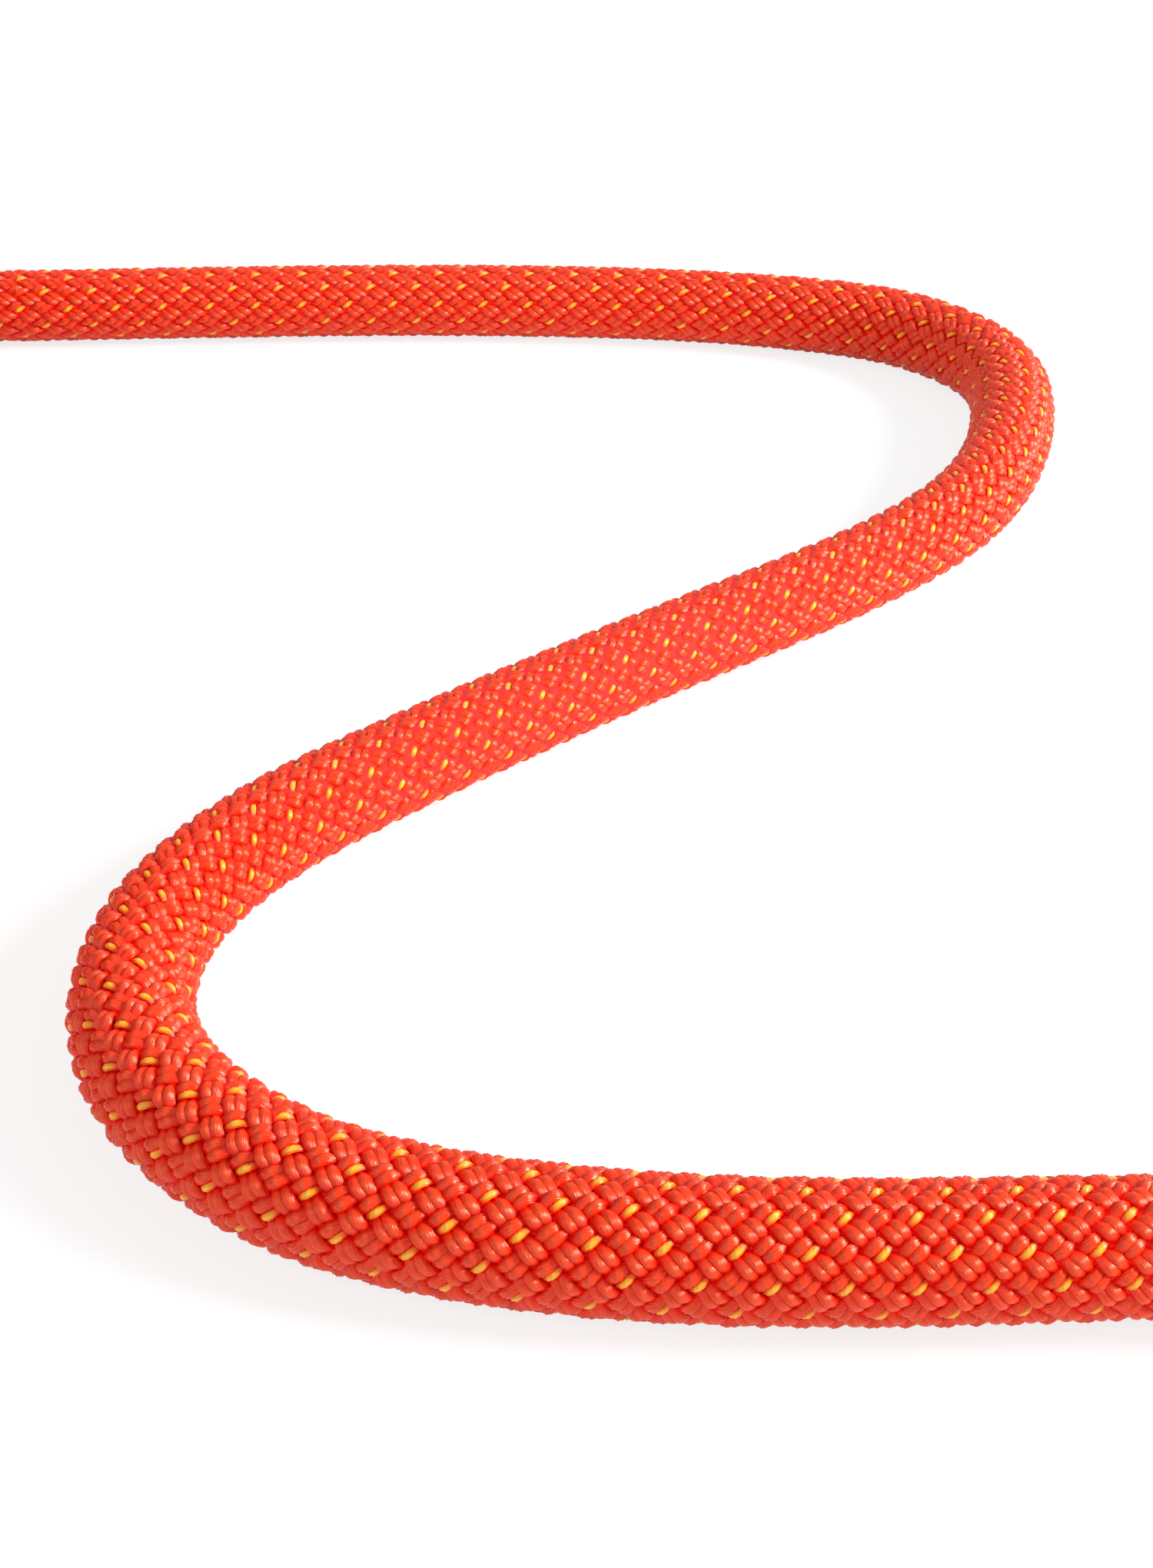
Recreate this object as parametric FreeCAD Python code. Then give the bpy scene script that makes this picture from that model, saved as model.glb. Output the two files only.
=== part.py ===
import FreeCAD, Part
import math
import os

# A dynamic climbing rope: a woven sheath over seven core strands, with its spare length put away
# in a round coil and a loose S-shaped run in front of it. Millimetres, +Z up. The origin is the
# middle of the coil, on the surface that the rope lies on.

# The rope's section
rope_diameter = 9.8
sheath_bore = 7.7
core_clearance = 0.1        # between neighbouring core strands, and between them and the sheath
core_ring_count = 6         # strands round the middle one

# The two ends: melted shut, under a shrunk sleeve
seal_length = 1.5
sleeve_length = 24.0
sleeve_wall = 0.4
sleeve_clearance = 0.1

# The coil: four layers that spiral in and out again
coil_layers = 4
coil_outer_radius = 95.36   # of the first turn's centreline
turn_gap = 0.66
steady_turns = 5.5          # of a layer, before its spiral reverses
reverse_turns = 0.5         # the climb to the next layer
last_layer_turns = 5.0
end_lift = 0.6              # raises the sleeved end clear of the turns under it

# The three tape ties that hold the coil
tie_angles = (15.0, 135.0, 255.0)
tie_width = 16.0
tie_thickness = 1.2
tie_clearance = 0.3
tie_corner_radius = 3.0
tie_overlap = 26.0

# The run that isn't coiled, from the front end: X and Y of each corner of its route
run_route = (
    (234.2, -85.1), (208.3, -86.4), (175.5, -86.9), (151.4, -83.1), (137.9, -74.8),
    (130.4, -63.6), (130.1, -49.6), (136.9, -36.3), (149.3, -24.1), (172.2, -4.5),
    (198.3, 15.6), (212.8, 32.0), (220.5, 51.8), (222.6, 71.9), (212.8, 86.5),
    (198.0, 92.7), (174.5, 96.8), (143.6, 97.9), (110.0, 96.7), (79.0, 94.9),
)
approach_x = 44.0           # the last corner before the coil
sleeved_corners = 2         # how many of the route's corners lie at the height of the sleeve
arc_share = 0.45            # of the shorter run, taken up by each arc

# Worked out from the sizes above
rope_radius = rope_diameter / 2
core_diameter = (sheath_bore - 4 * core_clearance) / 3
core_ring_radius = core_diameter + core_clearance
sleeve_radius = rope_radius + sleeve_clearance + sleeve_wall
turn_pitch = rope_diameter + turn_gap
turns_per_layer = steady_turns + reverse_turns
coil_turns = (coil_layers - 1) * turns_per_layer + last_layer_turns
coil_floor = tie_thickness + tie_clearance + rope_radius    # height of the lowest turns' centreline
spiral_slope = math.atan(turn_pitch / (2 * math.pi * coil_outer_radius))
start_angle = math.pi / 2 - spiral_slope                    # so that the first turn starts along -X
stations_per_turn = 4       # biarcs in a turn of the coil
heading_step = 1e-4         # of a turn, over which the coil's heading is taken
point_step = 2.0            # between the points on which gaps are measured
neighbour_skip = 3 * rope_diameter                          # rope this near along itself is no other turn

vector = FreeCAD.Vector


def coil_radius_and_height(turn):
    # Each layer spirals at a steady rate, then reverses and climbs in the last half turn.
    layer = max(0, min(int(turn // turns_per_layer), coil_layers - 1))
    within = turn - layer * turns_per_layer
    inwards = layer % 2 == 0
    rate = -turn_pitch if inwards else turn_pitch
    start = coil_outer_radius if inwards else coil_outer_radius - steady_turns * turn_pitch
    radius = start + rate * min(within, steady_turns)
    height = coil_floor + layer * turn_pitch
    if within > steady_turns:
        share = (within - steady_turns) / reverse_turns
        radius += rate * reverse_turns * (share - share * share)
        height += turn_pitch * (1 - math.cos(math.pi * share)) / 2
    lift_start = coil_turns - reverse_turns
    if turn > lift_start:
        share = min(1.0, (turn - lift_start) / reverse_turns)
        height += end_lift * (1 - math.cos(math.pi * share)) / 2
    return radius, height


def coil_point(turn):
    radius, height = coil_radius_and_height(turn)
    angle = start_angle + 2 * math.pi * turn
    return vector(radius * math.cos(angle), radius * math.sin(angle), height)


def coil_direction(turn):
    before = max(turn - heading_step, 0)
    after = min(turn + heading_step, coil_turns)
    return (coil_point(after) - coil_point(before)).normalize()


def arc_from(start, direction, end):
    # The arc that leaves start along direction and passes through end.
    chord = end - start
    length = chord.Length
    towards = direction + chord / length
    middle = start + towards * (length / (towards.Length ** 2))
    return Part.Arc(start, middle, end).toShape()


def biarc(start, start_direction, end, end_direction):
    # Two arcs with the same reach that meet with one tangent.
    across = end - start
    both = start_direction + end_direction
    spread = 2 * (1 - start_direction.dot(end_direction))
    along = across.dot(both)
    reach = (math.sqrt(along * along + spread * across.dot(across)) - along) / spread
    joint = (start + start_direction * reach + end - end_direction * reach) / 2
    second = arc_from(end, end_direction * -1, joint)
    return [arc_from(start, start_direction, joint), second.reversed()]


def coil_edges():
    count = int(round(coil_turns * stations_per_turn))
    edges = []
    for index in range(count):
        first = index / stations_per_turn
        last = (index + 1) / stations_per_turn
        edges += biarc(coil_point(first), coil_direction(first), coil_point(last), coil_direction(last))
    return edges


def coil_start():
    # The first turn begins after one rope diameter of straight rope.
    return coil_point(0) - coil_direction(0) * rope_diameter


def coil_end():
    # The last turn ends in a straight stretch that carries the sleeve.
    straight = rope_diameter + sleeve_length - seal_length
    return coil_point(coil_turns) + coil_direction(coil_turns) * straight


def coil_wire():
    lead_in = Part.LineSegment(coil_start(), coil_point(0)).toShape()
    lead_out = Part.LineSegment(coil_point(coil_turns), coil_end()).toShape()
    return Part.Wire([lead_in] + coil_edges() + [lead_out])


def run_corners():
    corners = []
    for index, (x, y) in enumerate(run_route):
        height = sleeve_radius if index < sleeved_corners else rope_radius
        corners.append(vector(x, y, height))
    start = coil_start()
    corners.append(vector(approach_x, start.y, start.z))
    corners.append(start)
    return corners


def run_wire():
    # Straight runs joined by tangent arcs, each as large as its two runs allow.
    corners = run_corners()
    edges = []
    radii = []
    last = corners[0]
    for before, corner, after in zip(corners, corners[1:], corners[2:]):
        back = before - corner
        ahead = after - corner
        reach = arc_share * min(back.Length, ahead.Length)
        turn = math.pi - back.getAngle(ahead)
        radius = reach / math.tan(turn / 2)
        radii.append(radius)
        back.normalize()
        ahead.normalize()
        arc_start = corner + back * reach
        arc_stop = corner + ahead * reach
        bisector = (back + ahead).normalize()
        to_centre = math.hypot(radius, reach)
        middle = corner + bisector * (to_centre - radius)
        edges.append(Part.LineSegment(last, arc_start).toShape())
        edges.append(Part.Arc(arc_start, middle, arc_stop).toShape())
        last = arc_stop
    edges.append(Part.LineSegment(last, corners[-1]).toShape())
    print("run radii", [round(radius, 1) for radius in radii])
    return Part.Wire(edges)


def swept(wire, diameter, across=0.0, up=0.0):
    # A round section carried along the wire, off its middle by across and up.
    first = wire.Edges[0]
    start = first.valueAt(first.FirstParameter)
    direction = first.tangentAt(first.FirstParameter)
    side = direction.cross(vector(0, 0, 1)).normalize()
    upward = side.cross(direction)
    centre = start + side * across + upward * up
    circle = Part.Wire([Part.makeCircle(diameter / 2, centre, direction)])
    solid = wire.makePipeShell([circle], True, False)
    return solid


def sheath(wire):
    return swept(wire, rope_diameter).cut(swept(wire, sheath_bore)).Solids[0]


def core_strands(wire):
    strands = [swept(wire, core_diameter)]
    for index in range(core_ring_count):
        angle = 2 * math.pi * index / core_ring_count
        across = core_ring_radius * math.cos(angle)
        up = core_ring_radius * math.sin(angle)
        strands.append(swept(wire, core_diameter, across, up))
    return strands


def end_seal(face, outwards):
    return Part.makeCylinder(rope_radius, seal_length, face, outwards)


def end_sleeve(face, outwards):
    # A thin tube, flush with the seal, over the rope's last stretch.
    start = face + outwards * (seal_length - sleeve_length)
    outer = Part.makeCylinder(sleeve_radius, sleeve_length, start, outwards)
    inner = Part.makeCylinder(rope_radius + sleeve_clearance, sleeve_length, start, outwards)
    return outer.cut(inner)


def bundle_span(points, angle_degrees):
    # The nearest, furthest and highest centreline of the turns that pass under a tie at this angle.
    along = vector(math.cos(math.radians(angle_degrees)), math.sin(math.radians(angle_degrees)), 0)
    aside = vector(-along.y, along.x, 0)
    reach = tie_width / 2 + point_step
    under = [point for point in points if point.dot(along) > 0 and abs(point.dot(aside)) <= reach]
    radii = [math.hypot(point.x, point.y) for point in under]
    return min(radii), max(radii), max(point.z for point in under)


def rounded_frame(inner, outer, low, high, corner):
    # A closed outline with round corners, in the XZ plane.
    points = (
        (inner, low, 1, 1), (outer, low, -1, 1), (outer, high, -1, -1), (inner, high, 1, -1),
    )
    edges = []
    ends = []
    diagonal = corner * (1 - math.sqrt(0.5))
    for x, z, to_x, to_z in points:
        beside = vector(x + to_x * corner, 0, z)
        above = vector(x, 0, z + to_z * corner)
        middle = vector(x + to_x * diagonal, 0, z + to_z * diagonal)
        first, last = (above, beside) if to_x == to_z else (beside, above)
        edges.append(Part.Arc(first, middle, last).toShape())
        ends.append((first, last))
    joined = []
    for index, edge in enumerate(edges):
        joined.append(edge)
        following = ends[(index + 1) % len(ends)][0]
        joined.append(Part.LineSegment(ends[index][1], following).toShape())
    return Part.Face(Part.Wire(joined))


def coil_tie(points, angle_degrees):
    # A tape round the bundle of turns, its tail lapped over its own top.
    nearest, furthest, highest = bundle_span(points, angle_degrees)
    turn_inside = nearest - rope_radius
    inner = math.sqrt(turn_inside ** 2 - (tie_width / 2) ** 2) - tie_clearance
    outer = furthest + rope_radius + tie_clearance
    low = tie_thickness
    high = highest + rope_radius + tie_clearance
    band = rounded_frame(
        inner - tie_thickness, outer + tie_thickness,
        low - tie_thickness, high + tie_thickness, tie_corner_radius + tie_thickness,
    )
    band = band.cut(rounded_frame(inner, outer, low, high, tie_corner_radius))
    band = band.extrude(vector(0, tie_width, 0))
    tail_start = (inner + outer - tie_overlap) / 2
    tail_corner = vector(tail_start, 0, high + tie_thickness)
    tail = Part.makeBox(tie_overlap, tie_width, tie_thickness, tail_corner)
    tie = band.fuse(tail).removeSplitter()
    tie.translate(vector(0, -tie_width / 2, 0))
    tie.rotate(vector(0, 0, 0), vector(0, 0, 1), angle_degrees)
    return tie


def least_gap(points):
    # The smallest clear space between two turns, from points along the coil's centreline.
    skip = int(neighbour_skip / point_step)
    cell = turn_pitch + point_step
    cells = {}
    for index, point in enumerate(points):
        key = tuple(int(value // cell) for value in point)
        cells.setdefault(key, []).append(index)
    nearest = turn_pitch * 2
    for index, point in enumerate(points):
        home = [int(value // cell) for value in point]
        for dx in (-1, 0, 1):
            for dy in (-1, 0, 1):
                for dz in (-1, 0, 1):
                    for other in cells.get((home[0] + dx, home[1] + dy, home[2] + dz), ()):
                        if other > index + skip:
                            nearest = min(nearest, point.distanceToPoint(points[other]))
    return nearest - rope_diameter


def save(name, shape):
    shape.exportStep("parts/" + name + ".step")
    print(name, "volume", round(shape.Volume, 1), "valid", shape.isValid(), "solids", len(shape.Solids))


def compare_volume(name, shape, area, length):
    print(name, "volume over section times length", round(shape.Volume / (area * length), 5))


def main():
    os.makedirs("parts", exist_ok=True)
    run = run_wire()
    coil = coil_wire()
    sheath_area = math.pi * (rope_diameter ** 2 - sheath_bore ** 2) / 4
    print("run length", round(run.Length, 1), "coil length", round(coil.Length, 1))
    print("rope length", round(run.Length + coil.Length + 2 * seal_length, 1))
    coil_points = coil.discretize(Distance=point_step)
    print("least gap between turns", round(least_gap(coil_points), 3))
    for name, wire in (("run", run), ("coil", coil)):
        shell = sheath(wire)
        compare_volume(name, shell, sheath_area, wire.Length)
        save("sheath_" + name, shell)
        for index, strand in enumerate(core_strands(wire)):
            save("core_strand_" + name + "_" + str(index + 1), strand)
    corners = run_corners()
    front_outwards = (corners[0] - corners[1]).normalize()
    back_outwards = coil_direction(coil_turns)
    for name, face, outwards in (("front", corners[0], front_outwards), ("back", coil_end(), back_outwards)):
        save("end_seal_" + name, end_seal(face, outwards))
        save("end_sleeve_" + name, end_sleeve(face, outwards))
    for index, angle in enumerate(tie_angles):
        save("coil_tie_" + str(index + 1), coil_tie(coil_points, angle))


main()
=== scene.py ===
import math
from functools import partial

import bmesh
import bpy
import numpy as np
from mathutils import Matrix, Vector


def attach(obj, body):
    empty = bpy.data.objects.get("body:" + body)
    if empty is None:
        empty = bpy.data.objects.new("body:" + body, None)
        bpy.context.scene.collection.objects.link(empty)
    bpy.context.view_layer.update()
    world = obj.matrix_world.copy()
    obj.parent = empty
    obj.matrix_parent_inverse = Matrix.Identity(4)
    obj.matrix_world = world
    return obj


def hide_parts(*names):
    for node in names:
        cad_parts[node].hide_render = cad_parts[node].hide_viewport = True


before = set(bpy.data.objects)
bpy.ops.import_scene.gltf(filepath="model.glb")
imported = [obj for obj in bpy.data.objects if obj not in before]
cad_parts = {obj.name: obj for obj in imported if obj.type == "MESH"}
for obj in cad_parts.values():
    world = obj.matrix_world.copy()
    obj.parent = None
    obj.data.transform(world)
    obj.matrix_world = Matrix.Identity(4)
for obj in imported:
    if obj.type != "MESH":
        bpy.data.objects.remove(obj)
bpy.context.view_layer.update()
scene = bpy.context.scene
scene.view_settings.view_transform = "Standard"
mm = 0.001
maths = "ShaderNodeMath"
vectorMaths = "ShaderNodeVectorMath"
mapRange = "ShaderNodeMapRange"
storeAttribute = "GeometryNodeStoreNamedAttribute"


def toLinear(hexColour):
    # an sRGB hex value as linear red, green, blue and alpha
    parts = [int(hexColour[i:i + 2], 16) / 255 for i in (1, 3, 5)]
    return [p / 12.92 if p <= 0.04045 else ((p + 0.055) / 1.055) ** 2.4 for p in parts] + [1.0]


def setInputs(tree, node, inputs):
    # gives a node's inputs their values or links, by name or in order; None leaves one as it is
    for key, value in inputs.items() if isinstance(inputs, dict) else enumerate(inputs):
        if isinstance(value, bpy.types.NodeSocket):
            tree.links.new(value, node.inputs[key])
        elif value is not None:
            node.inputs[key].default_value = value


def addNode(tree, kind, inputs=(), **settings):
    # adds a node with its settings, values and links, and returns its outputs
    node = tree.nodes.new(kind)
    for name, value in settings.items():
        setattr(node, name, value)
    setInputs(tree, node, inputs)
    return node.outputs


def newObject(name, data):
    thing = bpy.data.objects.new(name, data)
    scene.collection.objects.link(thing)
    return thing


def meshOf(piece):
    # what a piece's curve or modifiers make, as a plain mesh
    depsgraph = bpy.context.evaluated_depsgraph_get()
    return bpy.data.meshes.new_from_object(
        piece.evaluated_get(depsgraph), preserve_all_data_layers=True, depsgraph=depsgraph)


def newTree(name, inputs):
    # a node tree with a named input for each value; returns it, its inputs and their identifiers
    tree = bpy.data.node_groups.new(name, "GeometryNodeTree")
    tree.interface.new_socket("Geometry", in_out="INPUT", socket_type="NodeSocketGeometry")
    identifiers = {}
    for label, value in inputs.items():
        kind = {int: "Int", float: "Float"}.get(type(value), "Material")
        socket = tree.interface.new_socket(label, in_out="INPUT", socket_type="NodeSocket" + kind)
        identifiers[label] = socket.identifier
    tree.interface.new_socket("Geometry", in_out="OUTPUT", socket_type="NodeSocketGeometry")
    return tree, addNode(tree, "NodeGroupInput"), identifiers


def grow(name, mesh, tree, identifiers, inputs):
    # runs a tree on a mesh and keeps the result as a plain mesh, with no modifier left
    piece = newObject(name, mesh)
    modifier = piece.modifiers.new("grow", "NODES")
    modifier.node_group = tree
    for label, value in inputs.items():
        modifier[identifiers[label]] = value
    result = meshOf(piece)
    piece.modifiers.remove(modifier)
    piece.data = result
    result.name = name
    print("grown:", name, len(result.polygons), "faces")
    return piece


def lineMesh(name, edges, known):
    # a guide for a tree: lines with no faces, whose points know these values
    mesh = bpy.data.meshes.new(name)
    mesh.from_pydata(known["centre"].tolist(), edges, [])
    for label, values in known.items():
        kind, key = ("FLOAT_VECTOR", "vector") if values.ndim == 2 else ("FLOAT", "value")
        mesh.attributes.new(label, kind, "POINT").data.foreach_set(key, values.astype(np.float32).ravel())
    return mesh


def readGuide(tree, *numbers):
    # what a guide's points know: centre, side and rise, which are vectors, and these numbers
    read = {}
    for label in ("centre", "side", "rise", *numbers):
        kind = "FLOAT" if label in numbers else "FLOAT_VECTOR"
        read[label] = addNode(tree, "GeometryNodeInputNamedAttribute", {"Name": label}, data_type=kind)[0]
    return read


def placeBeside(tree, read, geometry, across, up, reach=1.0):
    # moves each point this far to the guide's side and up its rise, all of it times the reach
    sideways = addNode(tree, vectorMaths, {0: read["side"], "Scale": across}, operation="SCALE")[0]
    upwards = addNode(tree, vectorMaths, {0: read["rise"], "Scale": up}, operation="SCALE")[0]
    offset = addNode(tree, vectorMaths, [sideways, upwards], operation="ADD")[0]
    offset = addNode(tree, vectorMaths, {0: offset, "Scale": reach}, operation="SCALE")[0]
    position = addNode(tree, vectorMaths, [read["centre"], offset], operation="ADD")[0]
    return addNode(tree, "GeometryNodeSetPosition", {"Geometry": geometry, "Position": position})[0]


def placeRound(tree, read, geometry, degrees, radius):
    # moves each point to this angle and radius round the guide
    angle = addNode(tree, maths, [degrees], operation="RADIANS")[0]
    across, up = (addNode(tree, maths, [angle], operation=kind)[0] for kind in ("COSINE", "SINE"))
    return placeBeside(tree, read, geometry, across, up, radius)


def mapOutwards(tree, geometry, along, around):
    # keeps a map of the surface, and turns its faces outwards
    place = addNode(tree, "ShaderNodeCombineXYZ", [along, around, 0.0])[0]
    mapped = addNode(tree, storeAttribute, {"Geometry": geometry, "Name": "UVMap", "Value": place},
                     data_type="FLOAT2", domain="CORNER")[0]
    return addNode(tree, "GeometryNodeFlipFaces", [mapped])[0]


def finishTree(tree, geometry, smoothed, *materials):
    # smooths the faces chosen, makes copies real, and gives each selection its material
    geometry = addNode(tree, "GeometryNodeSetShadeSmooth", {
        "Geometry": geometry, "Shade Smooth": smoothed})[0]
    geometry = addNode(tree, "GeometryNodeRealizeInstances", [geometry])[0]
    for selection, material in materials:
        geometry = addNode(tree, "GeometryNodeSetMaterial", {
            "Geometry": geometry, "Selection": selection, "Material": material})[0]
    addNode(tree, "NodeGroupOutput", [geometry])


def unit(vectors):
    return vectors / np.linalg.norm(vectors, axis=1)[:, None]


def distanceAlong(line):
    return np.concatenate([[0], np.cumsum(np.linalg.norm(np.diff(line, axis=0), axis=1))])


# Camera: where the photograph was taken from
view = {
    "position": (0.166, -0.191, 0.112305),
    "downDegrees": 33.29944,
    "focalPixels": 2750,
    "framePixels": 2040,        # the photograph's longer side
    "sensorWidth": 36,
    "clipStart": 0.01,
}


def makeCamera():
    data = bpy.data.cameras.new("camera")
    data.sensor_width = view["sensorWidth"]
    data.lens = view["focalPixels"] / view["framePixels"] * data.sensor_width
    data.clip_start = view["clipStart"]
    camera = newObject("camera", data)
    camera.location = view["position"]
    camera.rotation_euler = (math.radians(90 - view["downDegrees"]), 0, 0)
    scene.camera = camera


makeCamera()
print("stage: camera")


# The rope's route: the run's corners as given, then the coil's turns
rope = {
    "diameter": 9.8 * mm,
    "coreStrands": 7,
    "coilLayers": 4,
    "coilOuterRadius": 95.36 * mm,
    "turnPitch": 10.46 * mm,
    "steadyTurns": 5.5,
    "reverseTurns": 0.5,
    "coilTurns": 23.0,
    "coilFloor": 6.4 * mm,      # of the lowest turns' middle; they lie on the ties
    "endLift": 0.6 * mm,        # how much the last half turn climbs
    "pointsPerTurn": 24,
    "endStraight": 32.3 * mm,   # from the last turn to the rope's end
    "sleeveHeight": 5.4 * mm,   # of the rope's middle where the front sleeve holds it up
    "sleeveCorners": 2,         # of the run, at that height
    "approachX": 44.0 * mm,     # from here on the run heads straight for the coil
    "headingStep": 0.0001,      # of a turn, to find which way the coil's last turn heads
    "coilFrom": 0.5,            # metres along the rope
    "firstTurnTo": 0.9,         # metres along the rope, still in the coil's first turn
    "lineSteps": 48,            # of the line that the braid follows, in each stretch of the curve
    "baseSteps": 6,
    "baseBevel": 8,
    "baseRadius": 4.34 * mm,    # of the tube that shows red in the braid's gaps
    # a pure, bright red: painted light in the gaps, standing in for light that reaches them through the yarns
    "basePaintedLight": "#FF0A02",
    "baseRoughness": 0.8,
}
# in mm, from the front end to the coil
runRoute = (
    (234.2, -85.1), (208.3, -86.4), (175.5, -86.9), (151.4, -83.1), (137.9, -74.8),
    (130.4, -63.6), (130.1, -49.6), (136.9, -36.3), (149.3, -24.1), (172.2, -4.5),
    (198.3, 15.6), (212.8, 32.0), (220.5, 51.8), (222.6, 71.9), (212.8, 86.5),
    (198.0, 92.7), (174.5, 96.8), (143.6, 97.9), (110.0, 96.7), (79.0, 94.9),
)


def coilPoint(turn):
    # each layer spirals steadily, then reverses and climbs in its last half turn
    r = rope
    perLayer = r["steadyTurns"] + r["reverseTurns"]
    layer = max(0, min(int(turn // perLayer), r["coilLayers"] - 1))
    within = turn - layer * perLayer
    inwards = layer % 2 == 0
    rate = -r["turnPitch"] if inwards else r["turnPitch"]
    radius = r["coilOuterRadius"] - (0 if inwards else r["steadyTurns"] * r["turnPitch"])
    radius += rate * min(within, r["steadyTurns"])
    height = r["coilFloor"] + layer * r["turnPitch"]
    if within > r["steadyTurns"]:
        share = (within - r["steadyTurns"]) / r["reverseTurns"]
        radius += rate * r["reverseTurns"] * (share - share * share)
        height += r["turnPitch"] * (1 - math.cos(math.pi * share)) / 2
    lift = (turn - r["coilTurns"] + r["reverseTurns"]) / r["reverseTurns"]
    if lift > 0:
        height += r["endLift"] * (1 - math.cos(math.pi * min(lift, 1))) / 2
    slope = math.atan(r["turnPitch"] / (2 * math.pi * r["coilOuterRadius"]))
    angle = math.pi / 2 - slope + 2 * math.pi * turn
    return Vector((radius * math.cos(angle), radius * math.sin(angle), height))


def ropeRoute():
    points = []
    for index, (x, y) in enumerate(runRoute):
        height = rope["sleeveHeight"] if index < rope["sleeveCorners"] else rope["diameter"] / 2
        points.append(Vector((x * mm, y * mm, height)))
    start = coilPoint(0) + Vector((rope["diameter"], 0, 0))
    points.append(Vector((rope["approachX"], start.y, start.z)))
    points.append(start)
    step = 2 * math.pi / rope["pointsPerTurn"]
    outwards = 1 / (0.75 + 0.25 * math.cos(step))   # a spline cuts inside its points by this share
    for index in range(1, round(rope["coilTurns"] * rope["pointsPerTurn"])):
        point = coilPoint((index - 0.5) / rope["pointsPerTurn"])
        points.append(Vector((point.x * outwards, point.y * outwards, point.z)))
    last = coilPoint(rope["coilTurns"])
    heading = (last - coilPoint(rope["coilTurns"] - rope["headingStep"])).normalized()
    return points + [last + heading * rope["endStraight"] * share for share in (0, 0.5, 1)]


def makeRope():
    curve = bpy.data.curves.new("ropeBody", "CURVE")
    curve.dimensions = "3D"
    points = ropeRoute()
    spline = curve.splines.new("NURBS")
    spline.points.add(len(points) - 1)
    for point, place in zip(spline.points, points):
        point.co = (*place, 1)
    spline.order_u = 3
    spline.use_endpoint_u = True
    return newObject("rope_body", curve)


def setSteps(body, steps):
    body.data.splines[0].resolution_u = steps
    body.data.resolution_u = steps


def readLine(body):
    # the curve's own line, read from it with no bevel
    setSteps(body, rope["lineSteps"])
    mesh = meshOf(body)
    line = np.empty(len(mesh.vertices) * 3)
    mesh.vertices.foreach_get("co", line)
    bpy.data.meshes.remove(mesh)
    return line.reshape(-1, 3)


def onRope(along):
    return np.stack([np.interp(along, lineAlong, ropeLine[:, k]) for k in range(3)], 1)


ropeBody = makeRope()
ropeLine = readLine(ropeBody)
lineAlong = distanceAlong(ropeLine)
ropeLength = float(lineAlong[-1])
setSteps(ropeBody, rope["baseSteps"])
ropeBody.data.bevel_depth = rope["baseRadius"]
ropeBody.data.bevel_resolution = rope["baseBevel"]
ropeBody.data.use_fill_caps = True
print("stage: rope line", round(ropeLength, 4), "m")


# The braid: twelve strands each way, two yarns in each, over one and under one.
# A stage is the distance from one crossing to the next; at even stages the right-hand strands are on top.
braid = {
    "strands": 12,
    "middleRadius": 4.03 * mm,
    "wave": 0.41 * mm,
    "flatness": 0.03,           # how far a strand stays level before it dives under the next
    "squeeze": 0.22,            # how much narrower a strand is where it is under another
    "yarnHalfHeight": 0.44 * mm,
    "yarnHalfAngle": 9.1,       # degrees round the rope
    "plyAngle": 12.6,           # degrees between a strand's two yarns
    "tracerSize": 0.64,         # of a tracer yarn, as a share of the others
    "roll": -2.0,               # degrees that the rows are turned about the rope
    "firstStage": 1.07,         # where in the braid's repeat the rope's front end falls
    "sides": 7,
    "crowding": 0.45,           # how far a yarn's points gather on its outer side
    "ringsPerStage": 4,
    "sections": 4,
    "start": 3.0 * mm,          # from the front end, under its sleeve
    "uneven": 0.05 * mm,
    "sway": 1.0,                # degrees that a yarn wanders
    "driftScale": 0.33,         # the wandering changes over about three stages
    "driftLane": 7.3,           # keeps one yarn's wandering apart from the next one's
    "seed": 7,
    "mapGap": 17.0,             # stages between one yarn's place on the map and the next one's
    "headingReach": 1.2 * mm,   # each way, to find how the rope heads
    "tableStep": 0.5 * mm,
    # at points along the rope in mm: a tile's length in mm, which is two stages, and the girth's share
    # of the diameter
    "alongRope": (
        (0, 2.40, 1.0), (24, 2.40, 1.015), (40, 2.40, 1.05), (68, 2.40, 1.08), (104, 2.41, 1.09),
        (132, 2.43, 1.01), (154, 2.55, 0.96), (190, 2.72, 0.95), (222, 2.85, 0.97), (244, 2.92, 1.02),
        (276, 3.0, 1.10), (300, 3.05, 1.07), (330, 3.12, 1.03), (430, 3.30, 1.02), (520, 3.15, 1.0),
        (600, 3.0, 1.0),
    ),
}
tablePlaces, tileLengths, girths = (np.array(braid["alongRope"]) * (mm, mm, 1)).T


def stageTable():
    # how many stages there are up to each point along the rope
    along = np.arange(0, ropeLength + mm, braid["tableStep"])
    perMetre = 2 / np.interp(along, tablePlaces, tileLengths)
    stages = np.concatenate([[0], np.cumsum((perMetre[1:] + perMetre[:-1]) / 2 * np.diff(along))])
    return along, stages + braid["firstStage"]


stageAlong, stageCount = stageTable()


def ropeGuide(name, stages):
    # a line of rope centres, one at each stage given
    along = np.interp(stages, stageCount, stageAlong)
    reach = braid["headingReach"]
    heading = unit(onRope(along + reach) - onRope(along - reach))
    side = unit(np.cross(heading, (0, 0, 1)))
    return lineMesh(name, [(i, i + 1) for i in range(len(along) - 1)], {
        "centre": onRope(along), "side": side, "rise": np.cross(side, heading), "stage": stages,
        "girth": np.interp(along, tablePlaces, girths),
    })


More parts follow.
